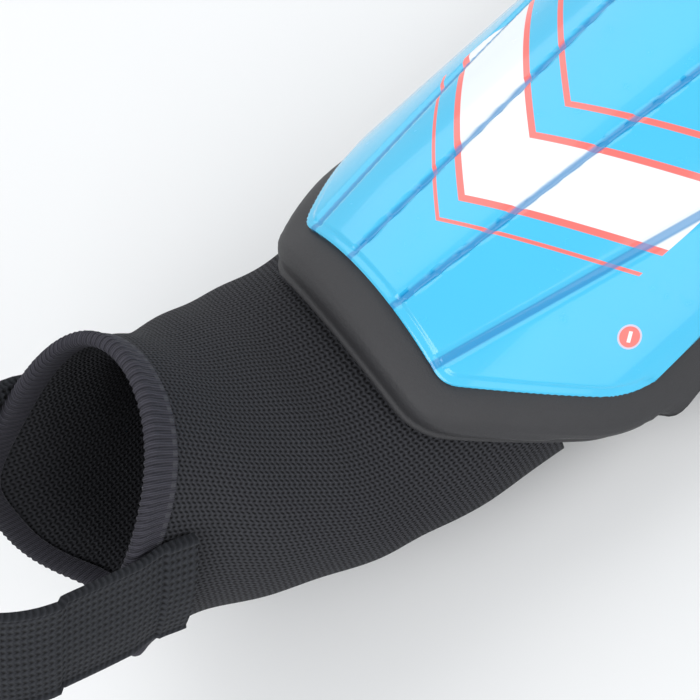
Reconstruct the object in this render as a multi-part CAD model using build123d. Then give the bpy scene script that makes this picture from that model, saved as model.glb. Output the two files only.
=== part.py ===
"""Football shin guard with an ankle sleeve: a moulded shell on a foam backing, a knitted sleeve and stirrup.

Frame: millimetres. Y runs up the leg from the ankle end to the knee end, Z points out of the shin, X is the
wearer's side-to-side. The origin lies on the shin line of the liner, level with the shell's ankle edge.
The guard wraps a cylinder (the leg) whose axis runs along Y, one leg radius below the origin.
"""
from build123d import *
import os
from math import asin, cos, degrees, radians, sin, sqrt, tan

os.makedirs("parts", exist_ok=True)

# ---------------------------------------------------------------- driving dimensions
leg_radius = 52.0          # inside of the liner
liner_thick = 0.8
foam_thick = 4.9           # pad under the shell
shell_thick = 2.0
glue_gap = 0.15            # between laminated curved layers

shell_length = 188.0       # along the crown
end_half = 31.0            # half arc width of the narrow ankle end
side_half = 64.5           # half arc width of the wings
flare_end = 27.5           # height where the wings reach full width
end_hollow = 3.4           # how far the ankle edge is hollowed at its middle
end_corner = 5.0           # corner radii of the shell's outline
wing_corner = 9.0
knee_corner = 38.0
rim_width = 2.6            # stepped rim round the shell
rim_step = 0.4

groove_inner = (8.8, 22.6)     # arc distance from the crown at the ankle and at the knee end
groove_outer = (25.9, 67.0)
groove_inner_width = 1.9
groove_outer_width = 3.4
groove_inner_depth = 0.9
groove_outer_depth = 0.6

foam_border = 15.0         # foam showing round the shell
foam_end_hollow = 1.6
foam_corner_extra = 9.0    # the foam's corners are rounder than the shell's
pocket_clear = 0.3         # between the shell's edge and the foam
roll_below_shell = 0.7     # crest of the rolled border below the shell's face
roll_radius = 3.2
roll_steps = 3             # facets of the rolled edge
lip_width = 1.4            # thin flange outside the roll
lip_thick = 1.4
liner_inset = 4.0          # liner stops short of the foam's edge

knit_thick = 1.5           # sleeve wall
sleeve_top_front = (12.0, -3.9)      # (y, z) of the front crest and the rear line, ring by ring
sleeve_top_rear = (6.0, -63.0)
sleeve_rings = (           # front (y, z), rear (y, z), half width
    (sleeve_top_front, sleeve_top_rear, 44.8),
    ((-12.0, -4.6), (-20.0, -52.0), 44.5),
    ((-27.0, 4.0), (-46.0, -42.0), 43.0),
    ((-40.0, 25.0), (-75.0, -34.0), 36.5),
    ((-51.0, 49.0), (-103.0, -27.0), 28.5),
    ((-61.0, 71.0), (-130.0, -20.0), 27.5),
)
toe_rim = ((-49.5, 50.0), (-95.0, 19.0))      # side view: the toe opening's edge
heel_rim = ((-95.0, 19.0), (-102.5, -28.0))   # side view: the heel opening's edge
binding_width = 7.0
binding_thick = 0.8
layer_gap = 0.2            # between fabric layers
hem_width = 12.0
hem_thick = 0.8

anchor_width = 20.0        # folded seam that joins the sleeve to the liner
anchor_length = 12.0
anchor_thick = 3.0
seat_gap = 0.3             # soft pieces on curved seats

stirrup_rise = 35.0        # degrees, the strap's direction above the leg's axis
stirrup_seam = (-74.0, 8.0)        # (y, z) of the sewn end, on its middle line
stirrup_width = 36.0
stirrup_thick = 1.4
stirrup_hem_length = 7.7
stirrup_hem_thick = 2.2
stirrup_leg_half = 30.6    # half distance between the legs' middle surfaces
stirrup_straight = 5.0     # straight leg past the pivot
stirrup_end_radius = 20.0  # rounded upper end, about the pivot

strap_height = 148.0       # middle of the calf strap above the ankle edge
strap_width = 38.0
strap_thick = 1.4
strap_sew_angle = 22.0     # length of the sewn end, as an angle round the leg
strap_bend_medial = 14.0
strap_bend_lateral = 10.0
patch_thick = 0.6          # hook and loop facings
patch_inset = 2.0
tab_thick = 1.6
tab_tip_angle = 64.0       # the tab lies over the border up to this angle
tab_rest_gap = 0.3

# ---------------------------------------------------------------- worked-out radii
liner_out = leg_radius + liner_thick
foam_in = liner_out + glue_gap
pocket_floor = foam_in + foam_thick
shell_in = pocket_floor + glue_gap
shell_out = shell_in + shell_thick
roll_out = shell_out - roll_below_shell
CENTRE = 0.5               # halfway along a line
FAR = 400.0                # longer than the whole guard, for cutting tools


def radial(angle):
    """Unit vector out from the leg's axis, angle in degrees from the crown toward +X."""
    return Vector(sin(radians(angle)), 0, cos(radians(angle)))


def tangent(angle):
    """Unit vector round the leg at that angle, toward +X."""
    return Vector(cos(radians(angle)), 0, -sin(radians(angle)))


def at(angle, y, r):
    """Point at radius r from the leg's axis."""
    return Vector(0, y, -leg_radius) + radial(angle) * r


def turn(arc):
    """Arc length on the shell's face as an angle in degrees."""
    return degrees(arc / shell_out)


def tube(r_in, r_out, y0, y1):
    """Ring round the leg's axis between two radii."""
    place = Plane(origin=(0, y0, -leg_radius), x_dir=(1, 0, 0), z_dir=(0, 1, 0))
    outer = place * Cylinder(r_out, y1 - y0, align=(Align.CENTER, Align.CENTER, Align.MIN))
    inner = place * Cylinder(r_in, y1 - y0, align=(Align.CENTER, Align.CENTER, Align.MIN))
    return outer - inner


def sector(r_in, r_out, angle0, angle1, y0, y1):
    """Curved slab between two radii, two angles and two heights."""
    middle = CENTRE * (angle0 + angle1)
    outer = ThreePointArc(at(angle0, y0, r_out), at(middle, y0, r_out), at(angle1, y0, r_out))
    inner = ThreePointArc(at(angle1, y0, r_in), at(middle, y0, r_in), at(angle0, y0, r_in))
    ends = [Line(outer @ 1, inner @ 0), Line(inner @ 1, outer @ 0)]
    return extrude(make_face([outer, ends[0], inner, ends[1]]), amount=y1 - y0, dir=(0, 1, 0))


def slab_plane(arc0, y0, arc1, y1, side):
    """Plane whose x runs from one point of the face to another, and whose z points out of the leg."""
    arc, y = CENTRE * (arc0 + arc1) * side, CENTRE * (y0 + y1)
    angle = turn(arc)
    along = tangent(angle) * ((arc1 - arc0) * side) + Vector(0, y1 - y0, 0)
    return Plane(origin=at(angle, y, shell_out), x_dir=along.normalized(), z_dir=radial(angle))


def radius_of(point):
    """Distance from the leg's axis."""
    return sqrt(point.X ** 2 + (point.Z + leg_radius) ** 2)


def corner_tool(corner, way_a, way_b, radius, side):
    """Tool that rounds a corner of the outline. Corner and ways are in arc length and height, for +X."""
    opening = CENTRE * radians(way_a.get_angle(way_b))
    inward = (way_a + way_b).normalized()
    hub = corner + inward * (radius / sin(opening))
    touch = radius / tan(opening)
    outline = [corner + way_a * touch, corner - inward * radius, corner + way_b * touch]
    flat = [(shell_out * sin((p.X - hub.X) / shell_out), p.Y - hub.Y) for p in outline]
    angle = side * turn(hub.X)
    place = Plane(origin=at(angle, hub.Y, shell_out), x_dir=tangent(angle) * side, z_dir=radial(angle) * side)
    face = make_face(Polyline(*flat, close=True)) - Circle(radius)
    return extrude(place * face, amount=CENTRE * leg_radius, both=True)


def plate(r_in, r_out, grow, hollow, extra_corner=0.0):
    """Sheet with the guard's outline, grown on all sides: narrow ankle end, flared wings, round knee end."""
    flare = Vector(side_half - end_half, flare_end + hollow).normalized()
    start = Vector(end_half, -hollow) + Vector(flare.Y, -flare.X) * grow
    end_y, wide, top = -grow - hollow, side_half + grow, shell_length + grow
    tip = start + flare * ((end_y - start.Y) / flare.Y)
    wing = start + flare * ((wide - start.X) / flare.X)
    half = turn(wide)
    sheet = sector(r_in, r_out, -half, half, end_y - hollow, top)
    chord = shell_out * sin(radians(turn(end_half)))
    bow = (chord ** 2 + hollow ** 2) / (2 * hollow)
    sheet -= Pos(0, -grow - bow, -leg_radius) * Cylinder(bow, FAR)
    round_by = knee_corner + grow
    for side in (-1, 1):
        line = slab_plane(tip.X, tip.Y, wing.X, wing.Y, side)
        cutter = Plane(origin=line.origin, x_dir=line.x_dir, z_dir=line.y_dir * (-side))
        sheet -= cutter * Box(FAR, FAR, FAR, align=(Align.CENTER, Align.CENTER, Align.MIN))
        edge_in = Vector(-end_half, 2 * hollow).normalized()
        sheet -= corner_tool(tip, edge_in, flare, end_corner + extra_corner, side)
        sheet -= corner_tool(wing, flare * -1, Vector(0, 1), wing_corner + extra_corner, side)
        angle = side * (half - degrees(asin(round_by / shell_out)))
        spot = at(angle, top - round_by, shell_out)
        place = Plane(origin=spot, x_dir=tangent(angle) * side, z_dir=radial(angle) * side)
        corner = Box(round_by * 2, round_by * 2, FAR, align=(Align.MIN, Align.MIN, Align.CENTER))
        sheet -= place * (corner - Cylinder(round_by, FAR))
    return sheet


# ---------------------------------------------------------------- shell: stepped rim and fanned grooves
shell = plate(shell_in, shell_out - rim_step, 0, end_hollow)
shell += plate(shell_in, shell_out, -rim_width, end_hollow)


def groove(arcs, width, depth, side):
    """Straight shallow channel on the face, from past the ankle edge to past the knee end."""
    reach = CENTRE * FAR
    place = slab_plane(arcs[0], -end_hollow, arcs[1], shell_length, side)
    channel = place * Box(reach * 2, width, reach)
    return channel & tube(shell_out - depth, shell_out + shell_thick, -end_hollow * 4, shell_length * 1.1)


for side in (-1, 1):
    shell -= groove(groove_inner, groove_inner_width, groove_inner_depth, side)
    shell -= groove(groove_outer, groove_outer_width, groove_outer_depth, side)

# ---------------------------------------------------------------- foam backing: pad, rolled border and lip
foam = plate(foam_in, foam_in + lip_thick, foam_border, foam_end_hollow, foam_corner_extra)
for step in range(roll_steps + 1):
    lean = radians(90 * step / roll_steps)
    inset = lip_width + roll_radius * (1 - cos(lean))
    foam += plate(foam_in, roll_out - roll_radius * (1 - sin(lean)), foam_border - inset, foam_end_hollow,
                  foam_corner_extra - inset)
foam -= plate(pocket_floor, roll_out + shell_thick, pocket_clear, end_hollow)

liner = plate(leg_radius, liner_out, foam_border - liner_inset, foam_end_hollow, foam_corner_extra)

# ---------------------------------------------------------------- ankle sleeve: knitted tube through the rings


def side_plane(front, rear):
    """Plane across the sleeve through a front and a rear point of the side view."""
    centre = Vector(0, CENTRE * (front[0] + rear[0]), CENTRE * (front[1] + rear[1]))
    up = Vector(0, front[0] - rear[0], front[1] - rear[1]).normalized()
    return Plane(origin=centre, x_dir=(1, 0, 0), z_dir=Vector(1, 0, 0).cross(up))


def sleeve_form(offset):
    """Solid through the elliptical rings, each one grown by the offset, open-ended past the top."""
    faces = []
    for front, rear, half in sleeve_rings:
        height = CENTRE * sqrt((front[0] - rear[0]) ** 2 + (front[1] - rear[1]) ** 2)
        faces.append(side_plane(front, rear) * Ellipse(half + offset, height + offset))
    return loft(faces)


def half_space(front, rear, gap, toward_toe):
    """Everything on one side of the side-view line, moved by the gap toward the toe."""
    place = side_plane(front, rear)
    toe_side = place.z_dir if place.z_dir.Y < 0 else place.z_dir * -1
    face = toe_side if toward_toe else toe_side * -1
    cut = Plane(origin=place.origin + toe_side * gap, x_dir=(1, 0, 0), z_dir=face)
    return cut * Box(FAR, FAR, FAR, align=(Align.CENTER, Align.CENTER, Align.MIN))


def knit_layer(inner, outer):
    """Sleeve wall between two offsets, trimmed to the toe and heel openings."""
    wall = sleeve_form(outer) - sleeve_form(inner)
    wall -= half_space(*toe_rim, 0, True)
    return wall - half_space(*heel_rim, 0, True)


along = Vector(0, -cos(radians(stirrup_rise)), sin(radians(stirrup_rise)))
rearward = Vector(0, -along.Z, along.Y)
seam = Vector(0, *stirrup_seam)
pivot = seam + along * (stirrup_hem_length + seat_gap + stirrup_end_radius)
ahead_of_strap = Plane(origin=seam, x_dir=(1, 0, 0), z_dir=rearward * -1)
behind_strap = Plane(origin=seam, x_dir=(1, 0, 0), z_dir=rearward)
big_half = Box(FAR, FAR, FAR, align=(Align.CENTER, Align.CENTER, Align.MIN))

ankle_sleeve = knit_layer(-knit_thick, 0)
band_in, band_out = layer_gap, layer_gap + binding_thick
band = knit_layer(band_in, band_out)
toe_binding = band & half_space(*toe_rim, -binding_width, True) & (ahead_of_strap * big_half)
heel_binding = band & half_space(*heel_rim, -binding_width, True) & (behind_strap * big_half)
hem_out = -knit_thick - layer_gap
top_hem = knit_layer(hem_out - hem_thick, hem_out)
top_hem &= half_space(sleeve_top_front, sleeve_top_rear, hem_width, False)

anchor_half = turn(CENTRE * anchor_width)
sleeve_anchor = sector(leg_radius - seat_gap - anchor_thick, leg_radius - seat_gap, -anchor_half, anchor_half,
                       sleeve_top_front[0] - anchor_length, sleeve_top_front[0])

# ---------------------------------------------------------------- stirrup: sewn ends and the strap under the foot
hem_in = band_out + layer_gap
hem_wall = sleeve_form(hem_in + stirrup_hem_thick) - sleeve_form(hem_in)
seam_place = Plane(origin=seam, x_dir=(1, 0, 0), z_dir=rearward)
hem_box = Box(FAR, stirrup_hem_length, stirrup_width, align=(Align.CENTER, Align.MIN, Align.CENTER))
hem_pair = hem_wall & (seam_place * hem_box)
half_x = Box(FAR, FAR, FAR, align=(Align.MIN, Align.CENTER, Align.CENTER))
hem_lateral = hem_pair & half_x
hem_medial = hem_pair - half_x

pivot_place = Plane(origin=pivot, x_dir=(1, 0, 0), z_dir=rearward)
leg_out, leg_in = stirrup_leg_half + CENTRE * stirrup_thick, stirrup_leg_half - CENTRE * stirrup_thick


def u_shape(half):
    """Filled U: a half disc below straight legs that run up past the pivot."""
    disc = Pos(0, stirrup_straight) * Circle(half)
    legs = Pos(0, stirrup_straight) * Rectangle(2 * half, 2 * stirrup_end_radius, align=(Align.CENTER, Align.MAX))
    return disc + legs


u_band = extrude(pivot_place * (u_shape(leg_out) - u_shape(leg_in)), amount=CENTRE * stirrup_width, both=True)
below = Box(FAR, FAR, FAR, align=(Align.CENTER, Align.MIN, Align.CENTER))
round_end = Rotation(0, 90, 0) * Cylinder(stirrup_end_radius, FAR)
stirrup = u_band & (pivot_place * (below + round_end))

# ---------------------------------------------------------------- calf strap: sewn end, band and pull tab
y_low, y_high = strap_height - CENTRE * strap_width, strap_height + CENTRE * strap_width
floor = sleeve_top_rear[1]
foam_edge_angle = turn(side_half + foam_border)
sew_radius = leg_radius - seat_gap - CENTRE * strap_thick
patch_in = roll_out + layer_gap
tab_in = patch_in + patch_thick + tab_rest_gap + patch_thick
tab_out = tab_in + tab_thick
hinge_x, hinge_z = tab_out, -leg_radius
leave = -foam_edge_angle - 2
across = Plane(origin=(0, y_high, 0), x_dir=(1, 0, 0), z_dir=(0, -1, 0))
run_z = floor + CENTRE * strap_thick
leave_point = across.to_local_coords(at(leave, y_high, sew_radius))
leave_way = across.to_local_coords(at(leave, y_high, sew_radius) - tangent(leave)) - leave_point
corner_medial = leave_point + leave_way * ((run_z - leave_point.Y) / leave_way.Y)
corner_lateral = Vector(hinge_x - CENTRE * tab_thick, run_z)
strap_top = Vector(corner_lateral.X, hinge_z - seat_gap)
strap_run = FilletPolyline(leave_point, corner_medial, corner_lateral, strap_top,
                           radius=(strap_bend_medial, strap_bend_lateral - CENTRE * strap_thick))
calf_strap = extrude(across * trace(strap_run, line_width=strap_thick), amount=strap_width)
calf_strap += sector(sew_radius - CENTRE * strap_thick, sew_radius + CENTRE * strap_thick,
                     leave, leave + strap_sew_angle, y_low, y_high)

loop_patch = sector(patch_in, patch_in + patch_thick, tab_tip_angle + patch_inset,
                    foam_edge_angle - turn(roll_radius), y_low + patch_inset, y_high - patch_inset)
hinge_angle = 90.0
tab_start = hinge_angle - degrees(seat_gap / tab_out)
strap_tab = sector(tab_in, tab_out, tab_tip_angle, tab_start, y_low, y_high)
hook_patch = sector(tab_in - patch_thick, tab_in, tab_tip_angle + patch_inset, foam_edge_angle,
                    y_low + patch_inset, y_high - patch_inset)

# ---------------------------------------------------------------- write one file for each piece
pieces = {
    "shell": shell,
    "foam_backing": foam,
    "liner": liner,
    "sleeve_anchor": sleeve_anchor,
    "ankle_sleeve": ankle_sleeve,
    "sleeve_top_hem": top_hem,
    "toe_opening_binding": toe_binding,
    "heel_opening_binding": heel_binding,
    "stirrup_hem_lateral": hem_lateral,
    "stirrup_hem_medial": hem_medial,
    "stirrup_strap": stirrup,
    "calf_strap": calf_strap,
    "loop_patch": loop_patch,
    "strap_tab": strap_tab,
    "hook_patch": hook_patch,
}
for name, piece in pieces.items():
    export_step(piece, f"parts/{name}.step")

print("stirrup pivot (y, z):", round(pivot.Y, 3), round(pivot.Z, 3))
print("tab hinge (x, z):", round(hinge_x, 3), round(hinge_z, 3))
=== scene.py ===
"""Shin guard with an ankle sleeve, as it looks: gloss shell, foam backing, knitted sleeve, stirrup and strap.

Metres, in the CAD frame: Y runs up the leg, Z points out of the shin, X is the wearer's lateral side.
Shapes are worked out in millimetres as numpy grids and scaled once, when the mesh is made.
"""
from math import cos, pi, radians, sin

import bpy
import numpy as np
from mathutils import Matrix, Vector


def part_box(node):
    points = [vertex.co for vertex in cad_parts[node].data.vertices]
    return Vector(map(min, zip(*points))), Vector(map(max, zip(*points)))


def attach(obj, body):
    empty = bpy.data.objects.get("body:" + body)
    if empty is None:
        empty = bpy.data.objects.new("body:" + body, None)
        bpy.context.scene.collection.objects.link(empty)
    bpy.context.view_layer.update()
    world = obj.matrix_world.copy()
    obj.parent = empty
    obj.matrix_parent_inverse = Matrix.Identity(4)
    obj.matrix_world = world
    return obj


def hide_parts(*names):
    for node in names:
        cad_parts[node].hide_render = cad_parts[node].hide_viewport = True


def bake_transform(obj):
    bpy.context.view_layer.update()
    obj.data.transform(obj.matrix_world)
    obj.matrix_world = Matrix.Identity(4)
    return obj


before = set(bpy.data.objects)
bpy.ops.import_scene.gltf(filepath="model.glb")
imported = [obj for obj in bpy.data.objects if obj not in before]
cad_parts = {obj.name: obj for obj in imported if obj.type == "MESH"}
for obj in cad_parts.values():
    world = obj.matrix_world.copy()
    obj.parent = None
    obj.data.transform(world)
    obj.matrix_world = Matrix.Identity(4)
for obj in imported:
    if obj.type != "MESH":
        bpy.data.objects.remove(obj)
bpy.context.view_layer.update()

MM = 0.001
FACE_R, AXIS_Z = 60, -52  # radius of the shell's face, and height of the leg's axis, in millimetres

# ---- Camera: a long lens from the wearer's near side, 30 degrees off the shin's crown, rolled so that the
# leg runs from the lower left to the upper right. It is the first thing made.
camera_data = bpy.data.cameras.new("camera")
camera_data.lens, camera_data.sensor_width = 96.75, 36.0
camera = bpy.data.objects.new("camera", camera_data)
right = (0.554644, 0.749229, -0.361977)
down = (0.662152, -0.660866, -0.353285)
ahead = (-0.503909, -0.043736, -0.862649)
turned = Matrix([right, [-v for v in down], [-v for v in ahead]]).transposed().to_4x4()
camera.matrix_world = Matrix.Translation((0.23046, 0.00505, 0.38381)) @ turned
bpy.context.collection.objects.link(camera)
bpy.context.scene.camera = camera
bpy.context.scene.render.resolution_x = bpy.context.scene.render.resolution_y = 700
bpy.context.scene.view_settings.view_transform = "Standard"


class Value:
    """A shader socket that ordinary Python arithmetic works on; each operation adds one Math node."""

    def __init__(self, tree, socket):
        self.tree, self.socket = tree, socket

    def math(self, operation, *others, first=None):
        node = self.tree.nodes.new("ShaderNodeMath")
        node.operation = operation
        for slot, value in zip(node.inputs, ((self,) if first is None else (first, self)) + others):
            feed(self.tree, slot, value)
        return Value(self.tree, node.outputs[0])

    def __add__(self, other): return self.math("ADD", other)
    def __radd__(self, other): return self.math("ADD", first=other)
    def __sub__(self, other): return self.math("SUBTRACT", other)
    def __rsub__(self, other): return self.math("SUBTRACT", first=other)
    def __mul__(self, other): return self.math("MULTIPLY", other)
    def __rmul__(self, other): return self.math("MULTIPLY", first=other)
    def __truediv__(self, other): return self.math("DIVIDE", other)
    def __abs__(self): return self.math("ABSOLUTE")

    def wave(self, pitch):
        """Cosine of the value, from 0 to 1, once for each pitch."""
        return (self * (2 * pi / pitch)).math("COSINE") * 0.5 + 0.5

    def zigzag(self, half_pitch):
        """Rises from 0 to half_pitch and falls back."""
        return self.math("PINGPONG", half_pitch)

    def step(self, low, high):
        """0 below low, 1 above high, smooth between."""
        node = self.tree.nodes.new("ShaderNodeMapRange")
        node.interpolation_type = "SMOOTHSTEP"
        for name, value in (("Value", self), ("From Min", low), ("From Max", high)):
            feed(self.tree, node.inputs[name], value)
        return Value(self.tree, node.outputs[0])


def feed(tree, slot, value):
    """Puts a number, a colour or a Value into a node's input."""
    if isinstance(value, Value):
        tree.links.new(value.socket, slot)
    else:
        slot.default_value = value


class Finish:
    """A principled material. Its u and v are the piece's own flat coordinates in millimetres."""

    def __init__(self, name, **constants):
        self.material = bpy.data.materials.new(name)
        self.material.use_nodes = True
        self.tree = self.material.node_tree
        self.surface = self.tree.nodes["Principled BSDF"]
        for key, value in constants.items():
            self.surface.inputs[key.replace("_", " ")].default_value = value
        flat = self.node("ShaderNodeUVMap", out="UV", uv_map="flat")
        parts = self.tree.nodes.new("ShaderNodeSeparateXYZ")
        feed(self.tree, parts.inputs[0], flat)
        self.u, self.v = (Value(self.tree, parts.outputs[i]) for i in (0, 1))

    def node(self, kind, out=0, inputs=None, **settings):
        """Adds any node, sets its properties and inputs, and gives one of its outputs."""
        made = self.tree.nodes.new(kind)
        for key, value in settings.items():
            setattr(made, key, value)
        for key, value in (inputs or {}).items():
            feed(self.tree, made.inputs[key], value)
        return Value(self.tree, made.outputs[out])

    def noise(self, size, detail=3.0, roughness=0.6):
        """Soft noise from 0 to 1 with features of about that size in millimetres."""
        place = self.node("ShaderNodeTexCoord", out="Object")
        inputs = {"Vector": place, "Scale": 1 / (size * MM), "Detail": detail, "Roughness": roughness}
        return self.node("ShaderNodeTexNoise", inputs=inputs)

    def mix(self, low, high, factor):
        """Colour between two colours."""
        made = self.tree.nodes.new("ShaderNodeMix")
        made.data_type = "RGBA"
        for index, value in ((0, factor), (6, low), (7, high)):
            feed(self.tree, made.inputs[index], value)
        return Value(self.tree, made.outputs[2])

    def bump(self, height, depth):
        """Normal from a height between 0 and 1; depth in millimetres."""
        inputs = {"Height": height, "Distance": depth * MM, "Strength": 1.0}
        return self.node("ShaderNodeBump", inputs=inputs)

    def wear(self, **sockets):
        """Links the varying inputs of the surface."""
        for key, value in sockets.items():
            feed(self.tree, self.surface.inputs[key.replace("_", " ")], value)


def grid_solid(name, outer, inner, flat, closed=False, flip=False, sharp=40):
    """Solid between two point grids (rows, columns, 3) in millimetres, with its four open sides stitched.

    A closed grid joins its last column to its first. flat holds one more column than a closed grid."""
    rows, columns = outer.shape[:2]
    span = columns if closed else columns - 1
    r, c = np.meshgrid(np.arange(rows - 1), np.arange(span), indexing="ij")
    near, far = c, (c + 1) % columns
    first, second = r * columns, (r + 1) * columns
    faces = np.stack([first + near, first + far, second + far, second + near], -1)
    wide = flat.shape[1]
    looked = np.stack([r * wide + c, r * wide + c + 1, (r + 1) * wide + c + 1, (r + 1) * wide + c], -1)
    faces, looked = faces.reshape(-1, 4), looked.reshape(-1, 4)
    under, size = faces[:, ::-1] + rows * columns, rows * columns
    all_faces, all_flat = [faces, under], [looked, looked[:, ::-1]]

    def stitch(line, flat_line):
        a, b, fa, fb = line[:-1], line[1:], flat_line[:-1], flat_line[1:]
        all_faces.append(np.stack([b, a, a + size, b + size], -1))
        all_flat.append(np.stack([fb, fa, fa, fb], -1))

    around, flat_around = np.arange(span + 1) % columns, np.arange(span + 1)
    stitch(around, flat_around)
    stitch((around + (rows - 1) * columns)[::-1], (flat_around + (rows - 1) * wide)[::-1])
    if not closed:
        up, flat_up = np.arange(rows) * columns, np.arange(rows) * wide
        stitch(up[::-1], flat_up[::-1])
        stitch(up + columns - 1, flat_up + wide - 1)
    faces, looked = np.concatenate(all_faces), np.concatenate(all_flat)
    if flip:
        faces, looked = faces[:, ::-1], looked[:, ::-1]
    points = np.concatenate([outer.reshape(-1, 3), inner.reshape(-1, 3)]) * MM
    return quad_mesh(name, points, faces, flat.reshape(-1, 2)[looked], sharp)


def quad_mesh(name, points, faces, flat, sharp=40):
    """Mesh object from points, quads and one flat coordinate for each corner."""
    mesh = bpy.data.meshes.new(name)
    mesh.vertices.add(len(points))
    mesh.vertices.foreach_set("co", points.astype(np.float32).ravel())
    mesh.loops.add(faces.size)
    mesh.loops.foreach_set("vertex_index", faces.astype(np.int32).ravel())
    mesh.polygons.add(len(faces))
    mesh.polygons.foreach_set("loop_start", np.arange(0, faces.size, 4, dtype=np.int32))
    mesh.update(calc_edges=True)
    mesh.uv_layers.new(name="flat").data.foreach_set("uv", flat.astype(np.float32).ravel())
    mesh.polygons.foreach_set("use_smooth", np.ones(len(faces), bool))
    mesh.set_sharp_from_angle(angle=radians(sharp))
    thing = bpy.data.objects.new(name, mesh)
    bpy.context.collection.objects.link(thing)
    return thing


def smooth(low, high, value):
    """0 below low, 1 above high, smooth between."""
    t = np.clip((value - low) / (high - low), 0, 1)
    return t * t * (3 - 2 * t)


def rounded(points, cuts, steps=24):
    """Dense line through the points, with each inner corner cut back by its length and rounded."""
    points = [np.array(p, float) for p in points]
    line = [points[0]]
    for before, corner, after, cut in zip(points, points[1:], points[2:], cuts):
        a = corner + (before - corner) * cut / np.linalg.norm(before - corner)
        b = corner + (after - corner) * cut / np.linalg.norm(after - corner)
        t = np.linspace(0, 1, steps)[:, None]
        line.extend((1 - t) ** 2 * a + 2 * t * (1 - t) * corner + t ** 2 * b)
    return np.array(line + [points[-1]])


def wrap(s, y, r):
    """Point of the guard: s round the shell's face from the crown, y up the leg, r from the leg's axis."""
    return np.stack([r * np.sin(s / FACE_R), y + 0 * s, r * np.cos(s / FACE_R) + AXIS_Z], -1)


def outline(s, grow, hollow, tip_cut, wing_cut, knee):
    """Lower and upper edge of the guard's outline at each s, grown on all sides."""
    flare = np.array([33.5, 27.5 + hollow]) / np.hypot(33.5, 27.5 + hollow)
    start = np.array([31.0 + flare[1] * grow, -hollow - flare[0] * grow])
    tip = start + flare * ((-grow - hollow - start[1]) / flare[1])
    wing = start + flare * ((64.5 + grow - start[0]) / flare[0])
    bowl = [(x, -grow - hollow * (x / tip[0]) ** 2) for x in np.linspace(0, tip[0] - tip_cut, 12)[:-1]]
    corners = [(tip[0] - tip_cut - 2, bowl[-1][1]), tip, wing, (wing[0], wing[1] + 40)]
    near = rounded(corners, (tip_cut, wing_cut))
    low = np.concatenate([bowl, near])
    low = low[np.argsort(low[:, 0])]
    far = rounded([(0, 188.0 + grow), (64.5 + grow, 188.0 + grow), (64.5 + grow, 100)], (knee,))
    return np.interp(abs(s), low[:, 0], low[:, 1]), np.interp(abs(s), far[:-1, 0], far[:-1, 1])


def spread(length, edge, fine, coarse):
    """Places from 0 to length: fine steps within edge of both ends, coarse between."""
    ends = np.arange(0, edge, fine)
    middle = np.linspace(edge, length - edge, max(int((length - 2 * edge) / coarse), 2))
    return np.concatenate([ends, middle, length - ends[::-1]])


def outlined_grid(s, grow, hollow, cuts, rise, waist, every=1):
    """Grid over the guard's outline: s and y of each point, and its distance in from the edge.

    waist is two rows, heights and how much wider the sides are there; every thins the edge's points."""
    low, high = outline(s, grow, hollow, *cuts)
    y = low + (high - low) * rise[:, None]
    s = np.broadcast_to(s, y.shape) * (1 + np.interp(y, *waist))
    edge = np.concatenate([np.stack([s[0], y[0]], -1), np.stack([s[:, -1], y[:, -1]], -1),
                           np.stack([s[-1], y[-1]], -1)[::-1], np.stack([s[:, 0], y[:, 0]], -1)[::-1]])
    edge = edge[::every]
    inset = [np.sqrt(((along_s[:, None] - edge[:, 0]) ** 2 + (along_y[:, None] - edge[:, 1]) ** 2).min(1))
             for along_s, along_y in zip(s, y)]
    return s, y, np.array(inset)


# ---- Shell: one injection-moulded sheet 2 mm thick, bent round the shin, with a fine stepped rim and four
# shallow grooves that fan out toward the knee. A bold chevron and two pinstripes are printed under the gloss.
waist = ((22, 34, 42, 56, 90, 140, 180), (0, .018, .008, -.018, -.03, -.02, 0))
s, y, inset = outlined_grid(spread(129.0, 4.5, 0.28, 0.62) - 64.5, 0, 3.4, (4.0, 9.0, 38.0),
                            spread(1.0, 0.032, 0.0022, 0.0085), waist, every=2)
face = 59.6 + 0.4 * smooth(2.2, 3.0, inset) - 0.55 * (1 - np.sqrt(1 - (1 - np.clip(inset / 0.6, 0, 1)) ** 2))
for at_ankle, at_knee, width, depth, blur in ((8.8, 22.6, 2.0, 1.0, 0.35), (25.9, 67.0, 3.6, 0.9, 0.9)):
    centre = at_ankle + (at_knee - at_ankle) * (y + 3.5) / 191.5
    away = abs(abs(s) - centre)
    face -= depth * (1 - smooth(width / 2 - blur, width / 2 + blur * 0.4, away)) * smooth(0.6, 3.4, inset)
back = 57.95
shell = grid_solid("shell_face", wrap(s, y, face), wrap(s, y, back + 0 * s), np.stack([s, y], -1), sharp=55)
gloss = Finish("shell_gloss", IOR=1.5, Coat_Roughness=0.04)
across, up = abs(gloss.u), gloss.v
ink = up - 0.62 * across
bold = ink.step(29.8, 30.0) * (1 - ink.step(49.8, 50.0))
outer_line = ink.step(27.8, 28.0) * (1 - ink.step(51.8, 52.0))
thin = ink.step(60.8, 61.0) * (1 - ink.step(62.6, 62.8)) + ink.step(20.8, 21.0) * (1 - ink.step(21.9, 22.1))
inside = 1 - across.step(42.0, 42.2)
dot_u, dot_v = gloss.u - 51.7, up - 36.4
dot = (dot_u * dot_u + dot_v * dot_v).math("SQRT")
ring, disc = 1 - dot.step(2.95, 3.05), 1 - dot.step(2.5, 2.6)
turned_u, turned_v = dot_u * 0.8 + dot_v * 0.6, dot_v * 0.8 - dot_u * 0.6
bar = (1 - abs(turned_u).step(0.4, 0.5)) * (1 - abs(turned_v).step(1.3, 1.4))
tint = gloss.noise(60, 2)
blue = gloss.mix((0.040, 0.50, 0.80, 1), (0.055, 0.56, 0.86, 1), tint)
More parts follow.
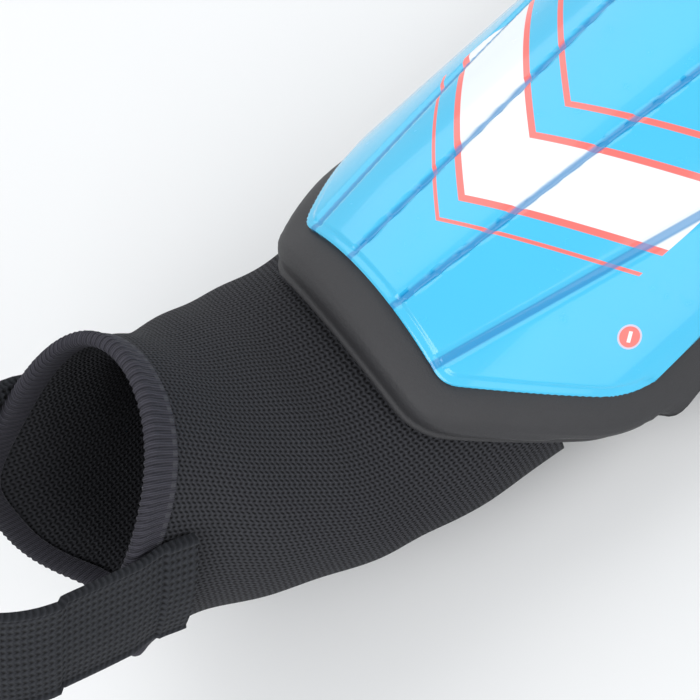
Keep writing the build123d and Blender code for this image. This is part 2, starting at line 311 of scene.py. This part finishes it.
paint = gloss.mix(blue, (1.0, 0.17, 0.15, 1), (outer_line + thin) * inside)
paint = gloss.mix(paint, (0.86, 0.92, 0.94, 1), bold * inside)
paint = gloss.mix(paint, (0.62, 0.58, 0.72, 1), ring)
paint = gloss.mix(paint, (0.93, 0.16, 0.14, 1), disc)
paint = gloss.mix(paint, (0.86, 0.90, 0.92, 1), bar)
# Painted shade: a dark blue line is painted along the middle of each groove, where the groove's bottom falls in
# shade.
for at_ankle, at_knee, wide in ((8.8, 22.6, 0.55), (25.9, 67.0, 0.8)):
    off = (across - at_ankle - (up + 3.5) * ((at_knee - at_ankle) / 191.5)).math("ABSOLUTE")
    paint = gloss.mix(paint, (0.006, 0.24, 0.55, 1), (1 - off.step(wide, wide + 0.6)) * 0.8)
rub = gloss.noise(5, 5, 0.7).step(0.56, 0.72)
gloss.wear(Base_Color=paint, Roughness=0.16 + 0.10 * gloss.noise(9, 4) + 0.08 * rub,
           Coat_Weight=0.55 - 0.2 * rub, Normal=gloss.bump(gloss.noise(14, 2), 0.05))
shell.data.materials.append(gloss.material)
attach(shell, "guard"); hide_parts("shell")

# ---- Foam backing: 5 mm closed-cell foam under the shell. Past the shell's edge it swells into a pressed,
# rounded border that dips against the shell, and ends in a thin welded lip.
waist = ((10, 34, 42, 56, 90, 140, 180), (0, .014, .006, -.014, -.024, -.016, 0))
s, y, inset = outlined_grid(spread(159.0, 17.5, 0.5, 3.0) - 79.5, 15.0, 1.6, (9.0, 14.0, 50.0),
                            spread(1.0, 0.078, 0.0022, 0.017), waist)
profile = np.array([(0, 53.6), (0.25, 54.2), (0.7, 54.4), (1.3, 54.3), (1.6, 54.6), (2.2, 56.3),
                    (3.2, 57.9), (4.6, 58.9), (6.4, 59.3), (8.4, 59.2), (10.6, 58.8), (12.8, 58.3),
                    (14.2, 57.9), (16, 57.8)])
lumps = 0.16 * np.sin(s / 7.3 + 1) * np.sin(y / 9.1) + 0.08 * np.sin(s / 2.9 + y / 3.7)
crease = sum(d * np.exp(-(((s - a) * c + (y - b) * e) / 0.9) ** 2) * smooth(9, 4, inset)
             for a, b, c, e, d in ((79, 30, .25, .97, .3), (78, 26, .4, .92, .22)))
top = np.interp(inset, profile[:, 0], profile[:, 1]) - crease
top = top + lumps * smooth(1, 5, inset) * smooth(16, 12, inset)
foam = grid_solid("foam_pad", wrap(s, y, top), wrap(s, y, top * 0 + 52.95), np.stack([s, y], -1), sharp=60)
sponge = Finish("foam_skin", Specular_IOR_Level=0.42)
grain, pores = sponge.noise(0.7, 4, 0.7), sponge.noise(0.32, 2)
grey = sponge.mix((0.020, 0.020, 0.022, 1), (0.044, 0.044, 0.048, 1), 0.6 * grain + 0.4 * sponge.noise(22, 3))
# Pale specks scattered at random over the foam's skin.
pale_specks = sponge.noise(1.1, 6, 0.8).step(0.66, 0.74)
sponge.wear(Base_Color=sponge.mix(grey, (0.07, 0.07, 0.075, 1), pale_specks * 0.4), Roughness=0.50 + 0.18 * grain,
            Normal=sponge.bump(grain * 0.6 + pores * 0.4, 0.22))
foam.data.materials.append(sponge.material)
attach(foam, "guard"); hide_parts("foam_backing")

# ---- Liner: thin warp-knit cloth bonded to the inside of the foam, stitched round its edge with two runs.
s, y, inset = outlined_grid(spread(151.0, 6.0, 0.5, 1.6) - 75.5, 11.0, 1.6, (8.0, 12.0, 46.0),
                            spread(1.0, 0.03, 0.003, 0.011), waist)
channel = 0.35 * (np.exp(-((inset - 3) / 0.6) ** 2) + np.exp(-((inset - 5) / 0.6) ** 2))
quilt = 0.22 * np.cos(pi * s / 12) * np.cos(pi * y / 12) * smooth(6, 12, inset)
inner = 52.12 + channel - quilt * 0.5 + 0.3 * smooth(1.2, 0, inset)
glued = 52.8
liner = grid_solid("liner_cloth", wrap(s, y, glued + 0 * s), wrap(s, y, inner), np.stack([s, y], -1), sharp=70)
cloth = Finish("liner_knit", Specular_IOR_Level=0.2, Sheen_Weight=0.3, Sheen_Roughness=0.4)
rib, loop = cloth.u.wave(1.1), (cloth.v + cloth.u.zigzag(1.1) * 0.6).wave(0.9)
shaded_hole = rib * loop
# Painted shade: the knit's holes are painted darker than its yarn.
cloth.wear(Base_Color=cloth.mix((0.045, 0.046, 0.052, 1), (0.010, 0.010, 0.012, 1), shaded_hole.step(0.45, 0.9)),
           Roughness=0.8 + 0.12 * cloth.noise(3), Normal=cloth.bump(1 - shaded_hole, 0.2))
liner.data.materials.append(cloth.material)
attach(liner, "guard"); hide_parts("liner")

# ---- Ankle sleeve: one tube of black elastic warp knit, wide where it is sewn under the guard's end and narrow
# at the foot. It is cut off slanting at the toe, and square at the heel. Each ring is its front and rear point
# in the side view and its half width. The knit has staggered holes between zigzag wales.
rings = np.array([(12, -3.9, 6, -63, 44.8), (-12, -4.6, -20, -52, 44.5), (-27, 4, -46, -42, 43.0),
                  (-40, 25, -75, -34, 36.5), (-51, 49, -103, -27, 28.5), (-61, 71, -130, -20, 27.5)], float)


def ring_at(t):
    """Front, rear and half width of the tube at place t, 0 to 5 from the top, on a curve through the rings."""
    i = np.clip(np.floor(t).astype(int), 0, 4)
    f = (t - i)[..., None]
    padded_rings = np.concatenate([[2 * rings[0] - rings[1]], rings, [2 * rings[-1] - rings[-2]]])
    a, b, c, d = (padded_rings[i + k] for k in range(4))
    bend, turn_back = 2 * a - 5 * b + 4 * c - d, 3 * b - a - 3 * c + d
    return 0.5 * (2 * b + (c - a) * f + bend * f ** 2 + turn_back * f ** 3)


def tube_point(t, turn_by, out=0.0):
    """Point of the sleeve at place t and angle from its front line, moved out from the wall."""
    g = ring_at(t)
    cy, cz = (g[..., 0] + g[..., 2]) / 2, (g[..., 1] + g[..., 3]) / 2
    uy, uz = (g[..., 0] - g[..., 2]) / 2, (g[..., 1] - g[..., 3]) / 2
    tall = np.hypot(uy, uz)
    wide, grow = g[..., 4] + out, (tall + out) / tall
    along_front = grow * np.cos(turn_by)
    return np.stack([wide * np.sin(turn_by), cy + uy * along_front, cz + uz * along_front], -1)


def rim_place(turn_by):
    """Place t where the tube meets the toe cut or the heel cut, whichever comes first."""
    t = np.linspace(2.2, 5, 700)[:, None]
    p = tube_point(t + 0 * turn_by, turn_by + 0 * t)
    toe = ((p[..., 1] + 95) * 31 - (p[..., 2] - 19) * 45.5) / 55.1
    heel = ((p[..., 1] + 95) * 47 - (p[..., 2] - 19) * 7.5) / 47.6
    heel = heel + 9 * smooth(0.1, 0.8, -np.sin(turn_by))
    both = -np.logaddexp(-toe / 2.5, -heel / 2.5) * 2.5
    return t[np.argmax(both < 0, 0), 0]


def along(lines):
    """Length along each column of a grid, in millimetres."""
    step = np.linalg.norm(np.diff(lines, axis=0), axis=-1)
    return np.concatenate([np.zeros((1, lines.shape[1])), np.cumsum(step, 0)])


def sleeve_grid(turns, fractions, out):
    """Grid on the sleeve from its top to the rim, with the slack folds of worn cloth and a flared heel."""
    end = rim_place(turns)
    t = end * fractions[:, None]
    p = tube_point(t, turns + 0 * t, out)
    run = along(p)
    left = run[-1] - run
    folds = 0.5 * np.sin(run / 8.0 + 2.2 * np.cos(turns)) * smooth(8, 30, run) * smooth(4, 20, left)
    folds += 0.35 * np.sin(run / 4.3 + 3 * np.sin(turns + 0.7)) * smooth(20, 50, run) * smooth(4, 16, left)
    flare = 2.5 * np.exp(-left / 5) * (0.35 + 0.65 * smooth(0.2, -0.7, np.cos(turns)))
    centre = p.mean(1, keepdims=True)
    away = (p - centre) / np.linalg.norm(p - centre, axis=-1, keepdims=True)
    return p + away * (folds + flare)[..., None], run, left


def flat_grid(around, down_it):
    """Flat coordinates of a grid: a row of places across it, and a column or grid of places along it."""
    return np.stack(np.broadcast_arrays(around, down_it), -1)


sides = 360
turns = np.linspace(0, 2 * pi, sides + 1)[:-1]
fractions = np.linspace(0, 1, 161)
wall, run, _ = sleeve_grid(turns, fractions, 0.0)
lining, _, _ = sleeve_grid(turns, fractions, -1.4)
girth = 238.0
flat = flat_grid(np.linspace(0, girth, sides + 1), np.concatenate([run, run[:, :1]], 1))
sleeve = grid_solid("sleeve_knit", wall, lining, flat, closed=True, flip=True)
knit = Finish("sleeve_yarn", Specular_IOR_Level=0.2)
wale, course = girth / 212, 1.4
lean = knit.u.zigzag(wale) / wale
yarn = (knit.v + lean * course * 0.5).wave(course)
cord = knit.u.wave(wale)
shaded_gap = (1 - yarn) * (1 - cord)
fray = knit.noise(0.6, 3)
# Painted highlight and shade: the crests of the yarns and cords are painted lighter, and the spaces between
# them darker.
shade = knit.mix((0.010, 0.010, 0.012, 1), (0.048, 0.049, 0.056, 1), yarn * 0.5 + cord * 0.3 + fray * 0.3)
# Painted shade: the gaps between the yarns are painted near black.
shade = knit.mix(shade, (0.003, 0.003, 0.004, 1), shaded_gap.step(0.38, 0.72))
knit.wear(Base_Color=shade, Roughness=0.75 + 0.2 * fray,
          Normal=knit.bump((1 - shaded_gap) * 0.6 + yarn * cord * 0.4, 0.45))
sleeve.data.materials.append(knit.material)
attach(sleeve, "sleeve"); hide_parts("ankle_sleeve")

# ---- Top hem: the sleeve's own knit turned inside and stitched down, 12 mm deep, round the top edge.
t = np.linspace(0.02, 0.42, 9)[:, None]
outer_hem, inner_hem = (tube_point(t + 0 * turns, turns + 0 * t, out) for out in (-1.6, -2.4))
inner_hem[0] = tube_point(t[0] + 0 * turns, turns, -2.0)
flat = flat_grid(np.linspace(0, girth, sides + 1), np.linspace(0, 12, len(t))[:, None])
hem = grid_solid("sleeve_hem", outer_hem, inner_hem, flat, closed=True, flip=True)
hem.data.materials.append(knit.material)
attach(hem, "sleeve"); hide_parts("sleeve_top_hem")

# ---- Rim binding: an overlocked edge 7 mm wide round the toe and heel openings. Loops of thread lie over the
# raw edge every 1.9 mm, with fine threads running back across the band to a chain of needle stitches.
# section is how far each line of the band lies behind the raw edge, and how far out of the knit's wall.
threads = 1260
turns_fine = np.linspace(0, 2 * pi, threads + 1)[:-1]
rim_line, _, _ = sleeve_grid(turns_fine, np.linspace(0.9, 1, 30), 0.0)
round_rim = along(np.concatenate([rim_line[-1], rim_line[-1][:1]])[:, None])[:, 0]
loops = round(round_rim[-1] / 1.9)
beat = 0.5 + 0.5 * np.cos(round_rim[:-1] / round_rim[-1] * loops * 2 * pi)
section = [(7.2, 0.15), (6.6, 0.75), (5.4, 0.7), (4.0, 0.8), (2.6, 0.85), (1.2, 1.0), (0.2, 0.9), (-0.7, 0.2),
           (-0.9, -0.7), (-0.5, -1.7), (0.6, -2.3), (2.4, -2.4), (4.2, -2.4), (5.6, -2.2)]
back_run = along(rim_line)
rows = []
for behind, lift in section:
    at = back_run[-1] - max(behind, 0)
    p = np.array([[np.interp(at[k], back_run[:, k], rim_line[:, k, axis]) for axis in range(3)]
                  for k in range(len(at))])
    way = rim_line[-1] - rim_line[-2]
    way /= np.linalg.norm(way, axis=1, keepdims=True)
    away = p - rim_line[-1].mean(0)
    away -= way * (away * way).sum(1, keepdims=True)
    away /= np.linalg.norm(away, axis=1, keepdims=True)
    ridge = 0.28 * beat * smooth(4.5, 0.5, abs(behind))
    past = max(-behind, 0) + ridge * (behind < 0.5)
    out = lift + (ridge if lift > 0 else -ridge * 0.5)
    rows.append(p + way * past[:, None] + away * out[:, None])
skin = np.array(rows)
core = skin.mean(0, keepdims=True) * 0.12 + skin * 0.88
flat = flat_grid(round_rim, np.array([behind for behind, _ in section])[:, None])
binding = grid_solid("rim_binding", skin, core, flat, closed=True, flip=True, sharp=75)
thread = Finish("overlock_thread", Specular_IOR_Level=0.25)
strand = (thread.u + thread.v * 0.10).wave(0.62)
loop = (thread.u * (loops / round_rim[-1])).wave(1.0)
stitch = (thread.u + 0.4).wave(2.6) * thread.v.step(5.2, 5.5) * (1 - thread.v.step(6.4, 6.7))
lit = strand * 0.55 + loop * 0.3 + thread.noise(0.8) * 0.3
shade = thread.mix((0.010, 0.010, 0.013, 1), (0.060, 0.058, 0.074, 1), lit)
thread.wear(Base_Color=thread.mix(shade, (0.07, 0.07, 0.08, 1), stitch),
            Roughness=0.7 + 0.2 * thread.noise(1.2), Normal=thread.bump(strand * 0.6 + loop * 0.4, 0.3))
binding.data.materials.append(thread.material)
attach(binding, "sleeve"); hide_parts("toe_opening_binding", "heel_opening_binding")

# ---- Anchor seam: a folded pad of the sleeve's cloth, bar-tacked under the crown, that holds the sleeve to
# the liner.
s, y = np.meshgrid(np.linspace(-9, 9, 41), np.linspace(0.4, 11.6, 25))
edge_soft = smooth(0, 1.6, np.minimum(9 - abs(s), np.minimum(y, 12 - y)))
top = 51.7 - 0.25 * (1 - edge_soft) - 0.25 * np.exp(-((abs(s) - 6) / 0.7) ** 2)
under = 48.8 + 0.9 * (1 - edge_soft)
anchor = grid_solid("anchor_pad", wrap(s, y, top), wrap(s, y, under), np.stack([s, y], -1), sharp=60)
anchor.data.materials.append(thread.material)
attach(anchor, "guard"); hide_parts("sleeve_anchor")

# ---- Stirrup: a band of thick ribbed elastic 36 mm wide. Its ends are sewn to the outside of the sleeve,
# doubled over at the ends, and it passes under the arch of the foot.
rise = radians(35)
forward, rearward = np.array([0, -cos(rise), sin(rise)]), np.array([0, -sin(rise), -cos(rise)])
seam = np.array([0, -76.0, 8.6])
table_t, table_turn = np.meshgrid(np.linspace(2, 5, 300), np.linspace(0, pi, 240), indexing="ij")
table_point = tube_point(table_t, table_turn, 0.0).reshape(-1, 3)


def sleeve_side(y, z):
    """Half width of the sleeve at a place in the side view."""
    found = np.empty(y.size)
    for k, (a, b) in enumerate(zip(y.ravel(), z.ravel())):
        near = np.argpartition((table_point[:, 1] - a) ** 2 + (table_point[:, 2] - b) ** 2, 4)[:4]
        found[k] = table_point[near, 0].mean()
    found = found.reshape(y.shape)
    for _ in range(30):
        still = np.pad(found, 1, mode="edge")
        found = (still[:-2, 1:-1] + still[2:, 1:-1] + still[1:-1, :-2] + still[1:-1, 2:] + 2 * found) / 6
    return found


across = np.linspace(-18, 18, 73)
legs_end, bend = 33.0, 30.6
sewn, leg = np.linspace(0, 7.7, 12), np.linspace(8.2, legs_end, 30)
arc = np.linspace(0, pi / 2, 40)[1:]
reach = np.concatenate([sewn, leg, legs_end + bend * np.sin(arc)])
touching, before_bend = 20, len(sewn) + len(leg)
spine_x = np.concatenate([sewn * 0, leg * 0, bend * (1 - np.cos(arc))])
side_view = seam + reach[:, None, None] * forward + across[:, None] * rearward
on_sleeve = sleeve_side(side_view[:touching, :, 1], side_view[:touching, :, 2]) + 2.0
half_x = np.full(side_view.shape[:2], bend) - spine_x[:, None]
half_x[:touching] = on_sleeve + (bend - on_sleeve) * smooth(5, 22, reach[:touching])[:, None]
half_x[touching:before_bend] += (on_sleeve[-1] - bend) * (1 - smooth(5, 22, reach[touching - 1]))
curl = 0.5 * smooth(15.5, 18, abs(across))
half_x = half_x + (0.35 * np.sin(across / 5.5) + curl) * smooth(5, 25, reach)[:, None] * (half_x / bend)
middle = np.stack([half_x, side_view[..., 1], side_view[..., 2]], -1)
middle = np.concatenate([middle, (middle[:-1] * (-1, 1, 1))[::-1]])
way = np.gradient(middle, axis=0)
side = np.gradient(middle, axis=1)
normal = np.cross(way, side)
normal /= np.linalg.norm(normal, axis=-1, keepdims=True)
if normal[0, len(across) // 2, 0] < 0:
    normal = -normal
run = along(middle)
bead = 0.45 * smooth(15.8, 16.8, abs(across)) - 0.6 * smooth(17.3, 18, abs(across))
doubled = 0.75 * (smooth(7.9, 7.1, run) + smooth(run[-1] - 7.9, run[-1] - 7.1, run))
thick = 0.7 + bead + doubled
face = middle + normal * thick[..., None]
back = middle - normal * (0.7 + bead * 0.6)[..., None]
stirrup = grid_solid("stirrup_band", face, back, flat_grid(across, run), flip=True, sharp=60)
elastic = Finish("stirrup_elastic", Specular_IOR_Level=0.22)
rib = elastic.u.wave(2.4)
weave = (elastic.v + elastic.u.zigzag(1.2) * 0.5).wave(1.5)
border = abs(elastic.u).step(15.6, 16.0)
shaded_hole = (1 - rib) * (1 - weave)
lit = rib * 0.4 + weave * 0.35 + elastic.noise(0.7) * 0.3
shade = elastic.mix((0.007, 0.008, 0.010, 1), (0.036, 0.038, 0.045, 1), lit)
# Painted shade: the holes between rib and weave are painted near black, outside the border.
shade = elastic.mix(shade, (0.004, 0.004, 0.005, 1), shaded_hole.step(0.45, 0.8) * (1 - border))
elastic.wear(Base_Color=shade, Roughness=0.75 + 0.2 * elastic.noise(1.5),
             Normal=elastic.bump(rib * 0.5 + weave * 0.5 - shaded_hole * 0.4, 0.5))
stirrup.data.materials.append(elastic.material)
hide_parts("stirrup_strap", "stirrup_hem_lateral", "stirrup_hem_medial")
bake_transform(stirrup)

# ---- Calf strap: flat ribbed elastic 38 mm wide, sewn inside the medial border, round the back of the calf
# and up outside the lateral border, where it ends in a pull tab faced with hooks over a patch of loop.
leave, sewn_turn = radians(-77.9), radians(22)
angles = np.linspace(leave + sewn_turn, leave, 30)
sewn = np.stack([51.0 * np.sin(angles), 51.0 * np.cos(angles) + AXIS_Z], -1)
drop = np.array([-cos(leave), sin(leave)])
floor_z, outer_x = -62.3, 61.8
down_to = sewn[-1] + drop * ((floor_z - sewn[-1][1]) / drop[1])
bent = rounded([sewn[-1], down_to, (outer_x, floor_z), (outer_x, -52.3)], (9, 7))
runs = [np.linspace(a, b, max(int(np.linalg.norm(b - a) / 1.5), 1), endpoint=False)
        for a, b in zip(bent, bent[1:])]
path = np.concatenate([sewn[:-1], *runs, bent[-1:]])
tangent = np.gradient(path, axis=0)
tangent /= np.linalg.norm(tangent, axis=1, keepdims=True)
normal = np.stack([tangent[:, 1], -tangent[:, 0]], -1)
strap_height = 148
wide = np.linspace(-19, 19, 61)
run = np.concatenate([[0], np.cumsum(np.linalg.norm(np.diff(path, axis=0), axis=1))])
half = (0.7 - 0.35 * smooth(17.6, 19, abs(wide)))[None, :] + 0.06 * np.cos(run / 0.9)[:, None]
half = half[..., None]
spine = np.stack(np.broadcast_arrays(path[:, :1], strap_height + wide, path[:, 1:]), -1)
normal3 = np.stack([normal[:, 0], normal[:, 0] * 0, normal[:, 1]], -1)[:, None]
flat = flat_grid(wide, run[:, None])
strap = grid_solid("calf_band", spine + normal3 * half, spine - normal3 * half, flat, sharp=60)
band = Finish("band_elastic", Specular_IOR_Level=0.22)
rib, cross = band.v.wave(1.8), (band.u + band.v.zigzag(0.9) * 0.4).wave(0.8)
border = abs(band.u).step(16.8, 17.2)
lit = rib * 0.5 + cross * 0.25 + band.noise(0.8) * 0.25
stitch = band.v.wave(2.4) * (1 - (abs(band.u) - 15.5).math("ABSOLUTE").step(0.25, 0.4))
shade = band.mix((0.008, 0.008, 0.010, 1), (0.036, 0.037, 0.043, 1), lit + border * 0.1)
band.wear(Base_Color=band.mix(shade, (0.10, 0.10, 0.11, 1), stitch), Roughness=0.75 + 0.2 * band.noise(1.5),
          Normal=band.bump(rib * 0.6 + cross * 0.4, 0.35))
strap.data.materials.append(band.material)
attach(strap, "guard"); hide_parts("calf_strap")

# ---- Pull tab, its hook face and the loop patch it closes on.
for name, body, node, low_r, high_r, from_turn, to_turn, slot, grains in (
        ("tab_end", "tab", "strap_tab", 61.0, 62.6, 64.0, 89.7, "webbing", None),
        ("tab_hooks", "tab", "hook_patch", 60.4, 61.0, 66.0, 75.9, "hook_loop", 1.5),
        ("border_loops", "guard", "loop_patch", 59.5, 60.1, 66.0, 72.8, "hook_loop", 0.5)):
    box_low, box_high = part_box(node)
    wide = np.linspace(box_low[1], box_high[1], 77) / MM
    turned = np.radians(np.linspace(from_turn, to_turn, 53))
    w, a = np.meshgrid(wide, turned)
    left = np.minimum(w - wide[0], wide[-1] - w)
    tip = (a - turned[0]) * high_r
    nip = smooth(0, 1.2, np.minimum(left, tip + (0 if node != "strap_tab" else 0.1)))
    if node == "strap_tab":
        w = strap_height + (w - strap_height) * (1 - 0.10 * (1 - smooth(0, 7, tip)) ** 2)
    place = lambda r: np.stack([r * np.sin(a), w, r * np.cos(a) + AXIS_Z], -1)
    r_high = high_r - 0.25 * (1 - nip)
    tab = grid_solid(name, place(r_high), place(low_r + 0 * a), np.stack([w - strap_height, tip], -1), sharp=60)
    if grains is None:
        tab.data.materials.append(band.material)
    else:
        pile = Finish(name + "_pile", Specular_IOR_Level=0.3, Sheen_Weight=0.3, Sheen_Roughness=0.5)
        lit_tuft = pile.u.wave(grains) * pile.v.wave(grains * 0.9)
        fuzz = pile.noise(0.5, 4, 0.7)
        # Painted highlight: the tops of the tufts are painted lighter.
        shade = pile.mix((0.012, 0.012, 0.014, 1), (0.060, 0.060, 0.068, 1), lit_tuft * 0.6 + fuzz * 0.4)
        pile.wear(Base_Color=shade, Roughness=0.8 + 0.15 * fuzz, Normal=pile.bump(lit_tuft * 0.6 + fuzz * 0.4, 0.4))
        tab.data.materials.append(pile.material)
    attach(tab, body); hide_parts(node)

# ---- Stage: a pale plain floor at the level the guard stands on, a white surround, and three soft lamps.
n, reach, ground = 41, 3000, -63.1
gx, gy = np.meshgrid(np.linspace(-reach, reach, n), np.linspace(-reach, reach, n))
points = np.stack([gx, gy, gx * 0 + ground], -1).reshape(-1, 3) * MM
r, c = np.meshgrid(np.arange(n - 1), np.arange(n - 1), indexing="ij")
faces = np.stack([r * n + c, r * n + c + 1, (r + 1) * n + c + 1, (r + 1) * n + c], -1).reshape(-1, 4)
floor = quad_mesh("floor", points, faces, np.stack([gx, gy], -1).reshape(-1, 2)[faces])
paper = Finish("floor_paper", Roughness=0.9, Specular_IOR_Level=0.1)
paper.wear(Base_Color=paper.mix((0.86, 0.86, 0.86, 1), (0.88, 0.88, 0.88, 1), paper.noise(400, 2)))
floor.data.materials.append(paper.material)

world = bpy.data.worlds.new("surround")
bpy.context.scene.world = world
world.use_nodes = True
tree = world.node_tree
seen, lit = tree.nodes["Background"], tree.nodes.new("ShaderNodeBackground")
seen.inputs[0].default_value, seen.inputs[1].default_value = (0.88, 0.88, 0.88, 1), 1.0
lit.inputs[0].default_value, lit.inputs[1].default_value = (0.92, 0.96, 1.0, 1), 0.55
rays = tree.nodes.new("ShaderNodeLightPath")
camera_ray, glossy, through = (Value(tree, rays.outputs[name]) for name in
                               ("Is Camera Ray", "Is Glossy Ray", "Is Transmission Ray"))
direct = camera_ray.math("MAXIMUM", glossy).math("MAXIMUM", through)
choose = tree.nodes.new("ShaderNodeMixShader")
feed(tree, choose.inputs[0], direct)
tree.links.new(lit.outputs[0], choose.inputs[1])
tree.links.new(seen.outputs[0], choose.inputs[2])
tree.links.new(choose.outputs[0], tree.nodes["World Output"].inputs[0])

for name, place, size, power in (("key", (0.5, -0.9, 1.3), 1.2, 14), ("fill", (-0.9, 0.5, 1.1), 1.6, 9),
                                 ("near", (1.2, 0.6, 0.7), 1.4, 7)):
    lamp = bpy.data.lights.new(name, "AREA")
    lamp.energy, lamp.size = power, size
    holder = bpy.data.objects.new(name, lamp)
    back = np.array(place) - (0, 0.02, -0.02)
    back = back / np.linalg.norm(back)
    east = np.cross((0, 0, 1), back)
    east /= np.linalg.norm(east)
    north = np.cross(back, east)
    holder.matrix_world = Matrix.Translation(place) @ Matrix([east, north, back]).transposed().to_4x4()
    bpy.context.collection.objects.link(holder)
